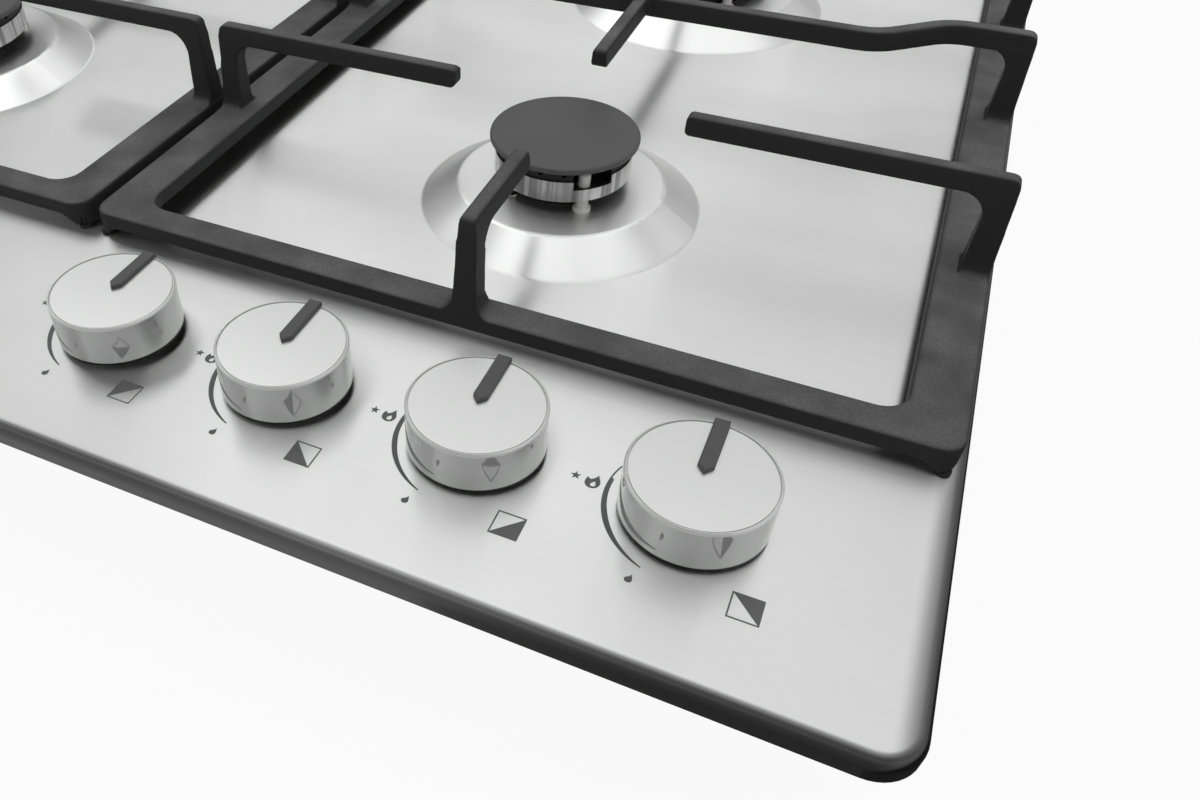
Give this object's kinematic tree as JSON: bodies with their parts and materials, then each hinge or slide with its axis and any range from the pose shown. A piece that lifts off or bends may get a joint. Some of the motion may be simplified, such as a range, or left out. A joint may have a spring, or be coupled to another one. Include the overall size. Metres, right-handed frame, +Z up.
{
  "type": "gas cooktop",
  "caption": "Built-in gas hob: brushed steel top, cast pan supports, capped burners with spark ignition and flame sensors, push-and-turn knobs over gas taps.",
  "frame": {"origin": "middle of the footprint, on the underside of the tray", "axes": "+X along the front edge to the user's right, +Y to the rear, +Z up"},
  "size_m": [0.58, 0.5, 0.0922],
  "materials": {
    "stainless": "brushed",
    "cast_iron": "matt black enamel",
    "cap_enamel": "matt black enamel",
    "burner_alloy": "turned, crown darkened by heat",
    "cup_alloy": "as cast",
    "ceramic": null,
    "sensor": "dull",
    "knob_metal": "satin silver, polished side",
    "pointer": "matt",
    "steel": "plain",
    "zinc_sheet": "galvanised",
    "brass": "machined",
    "rubber": "matt",
    "tap_alloy": "die cast",
    "pipe": "drawn",
    "black_plastic": "matt",
    "white_plastic": "matt"
  },
  "bodies": {
    "hob": {"burner_cup_front_left": "cup_alloy", "burner_cup_front_right": "cup_alloy", "burner_cup_rear_left": "cup_alloy", "burner_cup_rear_right": "cup_alloy", "burner_screws": "steel", "cable_gland": "black_plastic", "clamp_screws": "steel", "feed_pipe_front_left": "pipe", "feed_pipe_front_right": "pipe", "feed_pipe_rear_left": "pipe", "feed_pipe_rear_right": "pipe", "gas_rail": "steel", "gas_tap_front_left": "tap_alloy", "gas_tap_front_right": "tap_alloy", "gas_tap_rear_left": "tap_alloy", "gas_tap_rear_right": "tap_alloy", "hob_pan": "stainless", "injectors": "brass", "inlet_union": "brass", "spark_electrode_front_left": "ceramic", "spark_electrode_front_right": "ceramic", "spark_electrode_rear_left": "ceramic", "spark_electrode_rear_right": "ceramic", "spark_generator": "black_plastic", "spindle_grommets": "rubber", "terminal_block": "white_plastic", "thermocouples": "sensor", "under_tray": "zinc_sheet", "worktop_clamps": "steel", "worktop_seal": "rubber"},
    "head_rear_left": {"burner_head_rear_left": "burner_alloy"},
    "cap_rear_left": {"burner_cap_rear_left": "cap_enamel"},
    "plunger_rear_left": {"tap_plunger_rear_left": "brass"},
    "knob_rear_left": {"knob_rear_left": "knob_metal", "knob_pointer_rear_left": "pointer", "tap_spindle_rear_left": "steel"},
    "head_front_left": {"burner_head_front_left": "burner_alloy"},
    "cap_front_left": {"burner_cap_front_left": "cap_enamel"},
    "plunger_front_left": {"tap_plunger_front_left": "brass"},
    "knob_front_left": {"knob_front_left": "knob_metal", "knob_pointer_front_left": "pointer", "tap_spindle_front_left": "steel"},
    "head_front_right": {"burner_head_front_right": "burner_alloy"},
    "cap_front_right": {"burner_cap_front_right": "cap_enamel"},
    "plunger_front_right": {"tap_plunger_front_right": "brass"},
    "knob_front_right": {"knob_front_right": "knob_metal", "knob_pointer_front_right": "pointer", "tap_spindle_front_right": "steel"},
    "head_rear_right": {"burner_head_rear_right": "burner_alloy"},
    "cap_rear_right": {"burner_cap_rear_right": "cap_enamel"},
    "plunger_rear_right": {"tap_plunger_rear_right": "brass"},
    "knob_rear_right": {"knob_rear_right": "knob_metal", "knob_pointer_rear_right": "pointer", "tap_spindle_rear_right": "steel"},
    "support_left": {"pan_support_left": "cast_iron", "support_pads_left": "rubber"},
    "support_right": {"pan_support_right": "cast_iron", "support_pads_right": "rubber"}
  },
  "joints": [
    {"name": "knob_push_rear_left", "type": "slide", "parent": "hob", "child": "plunger_rear_left", "axis": [0, 0, -1], "range_m": [0, 0.0016], "stiffness_N_per_m": 1500, "springref_m": -0.003},
    {"name": "knob_turn_rear_left", "type": "hinge", "parent": "plunger_rear_left", "child": "knob_rear_left", "pos_m": [0.0438, -0.1991, 0.0595], "axis": [0, 0, 1], "range_deg": [0, 162]},
    {"name": "knob_push_front_left", "type": "slide", "parent": "hob", "child": "plunger_front_left", "axis": [0, 0, -1], "range_m": [0, 0.0016], "stiffness_N_per_m": 1500, "springref_m": -0.003},
    {"name": "knob_turn_front_left", "type": "hinge", "parent": "plunger_front_left", "child": "knob_front_left", "pos_m": [0.10485, -0.1991, 0.0595], "axis": [0, 0, 1], "range_deg": [0, 162]},
    {"name": "knob_push_front_right", "type": "slide", "parent": "hob", "child": "plunger_front_right", "axis": [0, 0, -1], "range_m": [0, 0.0016], "stiffness_N_per_m": 1500, "springref_m": -0.003},
    {"name": "knob_turn_front_right", "type": "hinge", "parent": "plunger_front_right", "child": "knob_front_right", "pos_m": [0.1659, -0.1991, 0.0595], "axis": [0, 0, 1], "range_deg": [0, 162]},
    {"name": "knob_push_rear_right", "type": "slide", "parent": "hob", "child": "plunger_rear_right", "axis": [0, 0, -1], "range_m": [0, 0.0016], "stiffness_N_per_m": 1500, "springref_m": -0.003},
    {"name": "knob_turn_rear_right", "type": "hinge", "parent": "plunger_rear_right", "child": "knob_rear_right", "pos_m": [0.22695, -0.1991, 0.0595], "axis": [0, 0, 1], "range_deg": [0, 162]},
    {"name": "head_lift_rear_left", "type": "slide", "parent": "hob", "child": "head_rear_left", "axis": [0, 0, 1], "range_m": [0, 0.03]},
    {"name": "cap_lift_rear_left", "type": "slide", "parent": "head_rear_left", "child": "cap_rear_left", "axis": [0, 0, 1], "range_m": [0, 0.04]},
    {"name": "head_lift_front_left", "type": "slide", "parent": "hob", "child": "head_front_left", "axis": [0, 0, 1], "range_m": [0, 0.03]},
    {"name": "cap_lift_front_left", "type": "slide", "parent": "head_front_left", "child": "cap_front_left", "axis": [0, 0, 1], "range_m": [0, 0.04]},
    {"name": "head_lift_front_right", "type": "slide", "parent": "hob", "child": "head_front_right", "axis": [0, 0, 1], "range_m": [0, 0.03]},
    {"name": "cap_lift_front_right", "type": "slide", "parent": "head_front_right", "child": "cap_front_right", "axis": [0, 0, 1], "range_m": [0, 0.04]},
    {"name": "head_lift_rear_right", "type": "slide", "parent": "hob", "child": "head_rear_right", "axis": [0, 0, 1], "range_m": [0, 0.03]},
    {"name": "cap_lift_rear_right", "type": "slide", "parent": "head_rear_right", "child": "cap_rear_right", "axis": [0, 0, 1], "range_m": [0, 0.04]},
    {"name": "support_lift_left", "type": "slide", "parent": "hob", "child": "support_left", "axis": [0, 0, 1], "range_m": [0, 0.12]},
    {"name": "support_lift_right", "type": "slide", "parent": "hob", "child": "support_right", "axis": [0, 0, 1], "range_m": [0, 0.12]}
  ]
}
